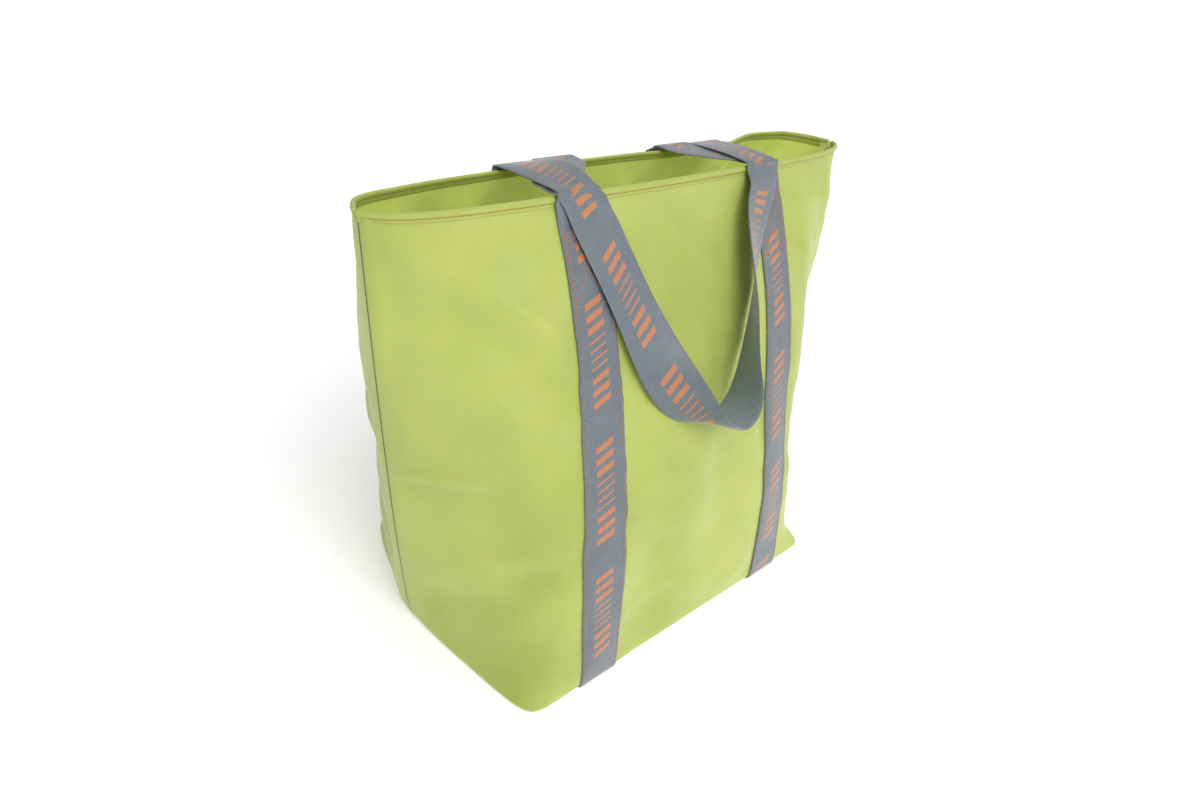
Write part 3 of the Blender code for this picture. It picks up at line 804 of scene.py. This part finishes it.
def build_ribbon(name, face, under, start, nodes, body=None):
    """Webbing from its outer and inner rows of points; start is the print's place at the first row."""
    count, columns = face.shape[:2]
    centre = face[:, columns // 2]
    run = np.concatenate([[0], np.cumsum(np.linalg.norm(np.diff(centre, axis=0), axis=1))]) + start
    points = np.concatenate([face, under[:, ::-1]], axis=1)
    around = 2 * columns
    v = np.concatenate([ACROSS, ACROSS[::-1]]) * WEB_WIDTH
    faces = tube_faces(count, around)
    plain = [columns <= i % around < around - 1 for i in range(len(faces) - 2)] + [False, False]
    uv = np.stack(np.broadcast_arrays(run[:, None], v[None, :]), -1).reshape(-1, 2)
    obj = make_mesh(name, points.reshape(-1, 3), faces, [web_face, web_plain], plain, corner_uv(faces, uv), crease=50)
    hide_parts(*nodes)
    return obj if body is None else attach(obj, body)


def ribbon_rows(centre, across, normal):
    """Outer and inner rows of points of free webbing from its middle line."""
    mid = centre[:, None, :] + across[:, None, :] * (ACROSS * WEB_WIDTH)[None, :, None]
    lift = (WEB / 2) * EDGE_THIN[None, :, None] * normal[:, None, :]
    return mid + lift, mid - lift


def strap_rows(x, back, low, high, count=150, reverse=False):
    """Rows of a strap lying on a panel, from s low to s high; reverse runs it across towards -X."""
    s = np.linspace(low, high, count)[:, None]
    v = (ACROSS * WEB_WIDTH)[None, :] * (-1 if reverse else 1)
    off = strap_offset(s)
    edge = EDGE_THIN[None, :]
    face = shell(x + v, s, back, off + WEB / 2 + WEB / 2 * edge)
    under = shell(x + v, s, back, off + WEB / 2 - WEB / 2 * edge)
    return face, under


def spline(values, count):
    """Cubic curve through rows of values, sampled evenly along the first three of them."""
    values = np.asarray(values, float)
    gaps = np.maximum(np.linalg.norm(np.diff(values[:, :3], axis=0), axis=1), 1e-6)
    knots = np.concatenate([[0], np.cumsum(gaps)])
    n = len(knots)
    h = np.diff(knots)
    system = np.zeros((n, n))
    right = np.zeros((n, values.shape[1]))
    system[0, 0] = system[-1, -1] = 1
    for i in range(1, n - 1):
        system[i, i - 1] = h[i - 1]
        system[i, i] = 2 * (h[i - 1] + h[i])
        system[i, i + 1] = h[i]
        right[i] = 6 * ((values[i + 1] - values[i]) / h[i] - (values[i] - values[i - 1]) / h[i - 1])
    second = np.linalg.solve(system, right)

    def at(k):
        i = np.clip(np.searchsorted(knots, k) - 1, 0, n - 2)
        a = ((knots[i + 1] - k) / h[i])[:, None]
        b = ((k - knots[i]) / h[i])[:, None]
        hh = (h[i] ** 2)[:, None] / 6
        return a * values[i] + b * values[i + 1] + ((a ** 3 - a) * second[i] + (b ** 3 - b) * second[i + 1]) * hh

    dense = at(np.linspace(0, knots[-1], 2000))
    run = np.concatenate([[0], np.cumsum(np.linalg.norm(np.diff(dense[:, :3], axis=0), axis=1))])
    want = np.linspace(0, run[-1], count)
    return np.stack([np.interp(want, run, dense[:, k]) for k in range(values.shape[1])], -1)


# Outer edge of each hanging loop: x, z, distance off the panel, turn of the webbing in degrees
FRONT_LOOP = (
    (-0.1228, 0.3575, 0.0040, 0),
    (-0.1158, 0.335, 0.0046, 0),
    (-0.1025, 0.303, 0.0050, 0),
    (-0.0885, 0.269, 0.0045, 3),
    (-0.0775, 0.241, 0.0040, 16),
    (-0.0615, 0.214, 0.0035, 36),
    (-0.038, 0.195, 0.0030, 66),
    (-0.006, 0.190, 0.0030, 92),
    (0.021, 0.200, 0.0030, 76),
    (0.039, 0.223, 0.0035, 56),
    (0.055, 0.251, 0.0040, 44),
    (0.074, 0.286, 0.0050, 26),
    (0.0970, 0.318, 0.0050, 9),
    (0.1150, 0.340, 0.0046, 3),
    (0.1205, 0.3575, 0.0040, 0),
)
REAR_LOOP_HALF = (
    (0.0855, 0.3553, 0.0050, 0),
    (0.087, 0.330, 0.0050, 0),
    (0.087, 0.295, 0.0045, 6),
    (0.082, 0.255, 0.0040, 18),
    (0.068, 0.214, 0.0035, 34),
    (0.040, 0.182, 0.0030, 50),
    (0.000, 0.170, 0.0030, 58),
)
LOOP_STRAIGHT = 0.045       # the part of a loop below the rim that hangs straight


def loop_frames(rows, back, count=161):
    """Middle line and across direction of a hanging loop whose outer edge lies along the panel."""
    sign = 1 if back else -1
    edge = []
    for x, _, z, off, turn in spline([(x, 0.0, z, off, turn) for x, z, off, turn in rows], count):
        t = min(max((z - FLOOR) / BODY_HEIGHT, 0.0), 1.0)
        edge.append((Vector((x, sign * (float(panel_depth(x, t, back)) + off), z)), t, turn))
    frames = []
    for i, (point, t, turn) in enumerate(edge):
        before = edge[max(i - 1, 0)][0]
        after = edge[min(i + 1, count - 1)][0]
        upright = min(max(1 - (edge[0][0].z - point.z) / LOOP_STRAIGHT, 0.0), 1.0)
        down = Vector((0, 0, -1 if i < count / 2 else 1))
        tangent = (after - before).normalized().lerp(down, upright).normalized()
        s = min(t, 0.999) * BODY_HEIGHT - CORNER_RADIUS + ROLL
        n = normals(np.array([point.x]), np.array([s]), back)[0]
        outward = Vector(n).lerp(Vector((0, sign, 0)), upright)
        outward = (outward - tangent * outward.dot(tangent)).normalized()
        inward = tangent.cross(outward) * sign
        angle = math.radians(turn)
        across = inward * math.cos(angle) + outward * math.sin(angle)
        centre = point + across * WEB_WIDTH / 2
        frames.append((*centre, *across))
    return frames


def leg_frames(start, end, arch, across_x, turn=None, tilt=0.0, count=9):
    """Webbing from one rim to the other; turn is the part of the way where it moves sideways, tilt raises an edge."""
    frames = []
    for i in range(count):
        s = i / (count - 1)
        sideways = s if turn is None else float(smooth((s - turn[0]) / (turn[1] - turn[0])))
        y = start[1] + (end[1] - start[1]) * s
        z = start[2] + (end[2] - start[2]) * s + 4 * arch * s * (1 - s)
        rise = across_x * tilt * math.sin(math.pi * s)
        frames.append((start[0] + (end[0] - start[0]) * sideways, y, z, across_x, 0.0, rise))
    return frames


def path_arrays(frames, count):
    """Evenly spaced middle line, across and normal from control frames; slanted rows keep the width."""
    line = spline(frames, count)
    centre, across = line[:, :3], unit(line[:, 3:])
    tangent = unit(np.gradient(centre, axis=0))
    normal = np.cross(tangent, across)
    square = np.linalg.norm(normal, axis=-1, keepdims=True)
    return centre, across / np.maximum(square, 0.75), normal / square


def strap_top(x, back, across_x):
    """Frames of the webbing where it leaves a panel strap and bends over the rim."""
    sign = 1 if back else -1
    s = TOP - 0.004
    face = shell(np.array([x]), np.array([s]), back, strap_offset(np.array([s])) + WEB / 2)[0]
    return [
        (x, face[1], face[2], across_x, 0.0, 0.0),
        (x, face[1] - sign * 0.0001, face[2] + 0.0025, across_x, 0.0, 0.0),
        (x, face[1] - sign * 0.0004, face[2] + 0.0045, across_x, 0.0, 0.0),
    ]


HANDLE_ROWS = 520
HANDLE_LEG = 150            # rows at each end of a handle that hold its whole leg
JOIN_Y = 0.004              # where a leg's two pieces meet over the mouth


def handle_rows(frames):
    """Outer and inner rows of a whole handle, and the rows where its loop starts and ends."""
    centre, across, normal = path_arrays(frames, HANDLE_ROWS)
    last_leg = HANDLE_ROWS - HANDLE_LEG
    low = int(np.argmin(np.abs(centre[:HANDLE_LEG, 1] - JOIN_Y)))
    high = last_leg + int(np.argmin(np.abs(centre[last_leg:, 1] - JOIN_Y)))
    return (*ribbon_rows(centre, across, normal), low, high)


def back_handle():
    """The back handle comes forward over the mouth and hangs in front."""
    loop = [f for f in loop_frames(FRONT_LOOP, False) if f[2] < 0.3505]
    leg_left = leg_frames((-0.1060, 0.0338, 0.3562), (-0.1040, -0.0255, 0.3569), 0.0040, 1.0, tilt=0.20)
    leg_right = leg_frames((0.1015, -0.0255, 0.3569), (0.1035, 0.0320, 0.3550), 0.0016, -1.0)
    bend_left = [(-0.1034, -0.0281, 0.3560, 1.0, 0, 0), (-0.1030, -0.0292, 0.3538, 1.0, 0, 0)]
    bend_right = [(0.1010, -0.0292, 0.3538, -1.0, 0, 0), (0.1012, -0.0281, 0.3560, -1.0, 0, 0)]
    return handle_rows(strap_top(-STRAP_X, True, 1.0) + leg_left + bend_left + loop[::4]
                       + bend_right + leg_right + strap_top(STRAP_X, True, -1.0)[::-1])


def front_handle():
    """The front handle goes back under the other one and hangs behind."""
    mirrored = [(-x, z, off, turn) for x, z, off, turn in REAR_LOOP_HALF]
    loop = loop_frames(mirrored + list(reversed(REAR_LOOP_HALF[:-1])), True)
    loop = [f for f in loop if f[2] < 0.3500]
    leg_left = leg_frames((-0.1055, -0.0250, 0.3550), (-0.0665, 0.0383, 0.3556), 0.0, -1.0, turn=(0.10, 1.0))
    leg_right = leg_frames((0.0665, 0.0373, 0.3549), (0.1055, -0.0250, 0.3550), 0.0, 1.0, turn=(0.10, 1.0))
    bend_left = [(-0.0665, 0.0404, 0.3549, -1.0, 0, 0), (-0.0665, 0.0416, 0.3530, -1.0, 0, 0)]
    bend_right = [(0.0665, 0.0406, 0.3522, 1.0, 0, 0), (0.0665, 0.0394, 0.3541, 1.0, 0, 0)]
    return handle_rows(strap_top(-STRAP_X, False, -1.0) + leg_left + bend_left + loop[::4]
                       + bend_right + leg_right + strap_top(STRAP_X, False, 1.0)[::-1])


def length_of(rows):
    """Length of webbing along its middle."""
    centre = rows[:, rows.shape[1] // 2]
    return float(np.linalg.norm(np.diff(centre, axis=0), axis=1).sum())


# Where in the print's repeat each run of webbing starts
PRINT_START = {"back": 0.020, "front_left": 0.073, "front_right": 0.104}

STRAP_FOOT = 0.001
STRAP_TOP = TOP - 0.005


def joined(*parts):
    """One pair of outer and inner rows from several such pairs."""
    return [np.concatenate(rows) for rows in zip(*parts)]


def build_webbing():
    """The straps run on into the legs of the handles; each loop is a piece of its own."""
    face, under, low, high = back_handle()
    first = joined(strap_rows(-STRAP_X, True, STRAP_FOOT, STRAP_TOP), (face[1:low + 1], under[1:low + 1]))
    run = PRINT_START["back"]
    left = build_ribbon("webbing_back_left", *first, run, ["back_strap_left", "back_handle_leg_left"])
    run += length_of(first[0])
    loop = build_ribbon("webbing_back_handle", face[low:high + 1], under[low:high + 1], run, ["back_handle_loop"])
    run += length_of(face[low:high + 1])
    strap = [rows[::-1] for rows in strap_rows(STRAP_X, True, STRAP_FOOT, STRAP_TOP, reverse=True)]
    right = build_ribbon("webbing_back_right", *joined((face[high:-1], under[high:-1]), strap), run,
                         ["back_strap_right", "back_handle_leg_right"])
    for leg in (left, right):
        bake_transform(leg)
    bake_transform(loop)

    face, under, low, high = front_handle()
    strap = strap_rows(-STRAP_X, False, STRAP_FOOT, STRAP_TOP, reverse=True)
    build_ribbon("webbing_front_left", *joined(strap, (face[1:low + 1], under[1:low + 1])),
                 PRINT_START["front_left"], ["front_strap_left", "front_handle_leg_left"], BODY)
    run = PRINT_START["front_right"] - length_of(face[low:high + 1])
    loop = build_ribbon("webbing_front_handle", face[low:high + 1], under[low:high + 1], run, ["front_handle_loop"])
    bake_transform(loop)
    strap = [rows[::-1] for rows in strap_rows(STRAP_X, False, STRAP_FOOT, STRAP_TOP)]
    build_ribbon("webbing_front_right", *joined((face[high:-1], under[high:-1]), strap),
                 PRINT_START["front_right"], ["front_strap_right", "front_handle_leg_right"], BODY)

    for side, sign in (("left", -1), ("right", 1)):
        build_base_webbing(f"webbing_base_{side}", sign * STRAP_X, f"base_strap_{side}")


def build_base_webbing(name, x, node):
    """A strap's run under the base."""
    front, back = (strap_rows(x, is_back, STRAP_FOOT, 2 * STRAP_FOOT, 2)[0][0] for is_back in (False, True))
    face = np.array([front * (1 - f) + back * f for f in ACROSS_BASE])
    face[..., 2] = 0.0001 + (WEB / 2) * (1 - EDGE_THIN[None, :])
    under = face.copy()
    under[..., 2] = 0.0001 + WEB / 2 + (WEB / 2) * EDGE_THIN[None, :]
    build_ribbon(name, face[:, ::-1], under[:, ::-1], 0.0, [node], BODY)


# ---------------- side seams

SEAM_HALF = 0.0007          # half the thickness of the bound allowance
SEAM_SECTION = SEAM_HALF * np.array([0.6, 1.0, 1.0, 1.0, 1.0, 0.5])


def seam_line(sign, s, inset):
    """Line down the side seam."""
    return np.stack([sign * (edge_x(s) - inset), 0 * s, FLOOR + profile(s)[0]], -1)


def build_seam(name, sign, node):
    """Seam allowance inside the bag, bound and stitched down the side seam."""
    s = np.linspace(0.012, TOP - 0.006, 150)
    outer = seam_line(sign, s, 0.0022)
    inner = outer - np.array([sign * 0.0085, 0.0, 0.0])
    inner[:, 1] = 0.0012 * waves(s, 0 * s, 90 + sign, 5, 0.04, 0.12)
    mid = np.stack([outer * (1 - f) + inner * f for f in np.linspace(0, 1, 6)], 1)
    offset = np.zeros_like(mid)
    offset[..., 1] = SEAM_SECTION
    points = np.concatenate([mid + offset, (mid - offset)[:, ::-1]], axis=1)
    faces = tube_faces(*points.shape[:2], flip=sign < 0)
    uv = np.stack([points[..., 0], points[..., 2]], -1).reshape(-1, 2)
    obj = make_mesh(name, points.reshape(-1, 3), faces, [seam_fabric], uv=corner_uv(faces, uv))
    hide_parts(node)
    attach(obj, BODY)
    line = outer * 0.45 + inner * 0.55
    line[:, 1] += SEAM_HALF
    middle, direction, _ = spaced(line, 0.0034)
    out = np.tile([0.0, 1.0, 0.0], (len(middle), 1))
    build_stitches(name + "_stitches", [(middle, direction, out)], 0.0026, 0.0003, tan_thread)


def build_groove_shade_thread(name, sign):
    """Stitches down the groove of the outside seam, coloured near black: painted shade that darkens the crease."""
    line = seam_line(sign, np.linspace(0.004, TOP - 0.008, 400), 0.00115)
    middle, direction, _ = spaced(line, 0.0028)
    out = np.tile([float(sign), 0.0, 0.0], (len(middle), 1))
    build_stitches(name, [(middle, direction, out)], 0.0029, 0.00038, groove_shade_thread)


# ---------------- build

cloth_front = build_cloth("cloth_front", False, "front_panel")
cloth_back = build_cloth("cloth_back", True, "back_panel")
cloth_base = build_base_cloth()
rim_front = build_rim_roll("rim_roll_front", False, "front_hem")
rim_back = build_rim_roll("rim_roll_back", True, "back_hem")
build_webbing()
for face_name, is_back in (("front", False), ("back", True)):
    rim_nodes = [f"{face_name}_rim_stitch_{part}" for part in ("left", "middle", "right")]
    rim_stitches(f"rim_stitches_{face_name}", is_back, False, rim_nodes)
    rim_stitches(f"rim_stitches_{face_name}_inside", is_back, True)
    for side_name, side_sign in (("left", -1), ("right", 1)):
        key = f"{face_name}_{side_name}"
        edge_stitches(f"edge_stitches_{key}", side_sign * STRAP_X, is_back, f"{face_name}_edge_stitch_{side_name}")
        box_stitches(f"box_stitches_{key}", side_sign * STRAP_X, is_back, f"{face_name}_box_stitch_{side_name}")
for side_name, side_sign in (("left", -1), ("right", 1)):
    build_seam(f"seam_allowance_{side_name}", side_sign, f"{side_name}_seam_binding")
    build_groove_shade_thread(f"groove_shade_thread_{side_name}", side_sign)


# ---------------- camera, floor and light

CAMERA_AT = (-0.5038, -0.4030, 0.5236)
CAMERA_ANGLES = (43.26, 27.41, 7.47)        # yaw, downward pitch and roll, in degrees
# Soft suns: name, azimuth, elevation, strength, angle
SUNS = (
    ("key_front", -20, 41, 2.10, 45),
    ("key_right", 48, 44, 0.60, 75),
    ("back_right", 140, 34, 0.30, 40),
)


def build_camera():
    yaw, pitch, roll = (math.radians(angle) for angle in CAMERA_ANGLES)
    forward = Vector((math.sin(yaw) * math.cos(pitch), math.cos(yaw) * math.cos(pitch), -math.sin(pitch)))
    right = Vector((math.cos(yaw), -math.sin(yaw), 0))
    up = right.cross(forward)
    turned_right = right * math.cos(roll) + up * math.sin(roll)
    turned_up = up * math.cos(roll) - right * math.sin(roll)
    camera = bpy.data.cameras.new("camera")
    camera.sensor_width = 36.0
    camera.lens = 25.69
    camera.shift_x = 0.0773
    camera.shift_y = -0.0508
    camera.clip_start = 0.01
    obj = link(bpy.data.objects.new("camera", camera))
    rotation = Matrix((turned_right, turned_up, -forward)).transposed()
    obj.matrix_world = Matrix.Translation(CAMERA_AT) @ rotation.to_4x4()
    bpy.context.scene.camera = obj


def build_stage():
    """A plain pale floor, even light from all round, and soft suns."""
    mesh = bpy.data.meshes.new("floor")
    size = 40.0
    mesh.from_pydata([(-size, -size, 0), (size, -size, 0), (size, size, 0), (-size, size, 0)], [], [(0, 1, 2, 3)])
    n = Nodes("floor_pale")
    place = n.object_coordinates()
    n.set(Base_Color=n.mix(n.noise(place, 30.0), (0.90, 0.90, 0.90), (0.92, 0.92, 0.92)))
    n.set(Roughness=0.8, Specular_IOR_Level=0.2, Emission_Color=(1.0, 1.0, 1.0), Emission_Strength=0.26)
    mesh.materials.append(n.material)
    floor = link(bpy.data.objects.new("floor", mesh))
    floor.location.z = -0.0002

    world = bpy.data.worlds.new("studio")
    bpy.context.scene.world = world
    world.use_nodes = True
    background = world.node_tree.nodes["Background"]
    background.inputs[0].default_value = (1.0, 1.0, 1.0, 1.0)
    background.inputs[1].default_value = 0.37

    for name, azimuth, elevation, strength, angle in SUNS:
        light = bpy.data.lights.new(name, "SUN")
        light.energy = strength
        light.angle = math.radians(angle)
        lamp = link(bpy.data.objects.new(name, light))
        lamp.rotation_euler = (math.radians(90 - elevation), 0, math.radians(azimuth))
    bpy.context.scene.view_settings.view_transform = "Standard"


build_camera()
build_stage()
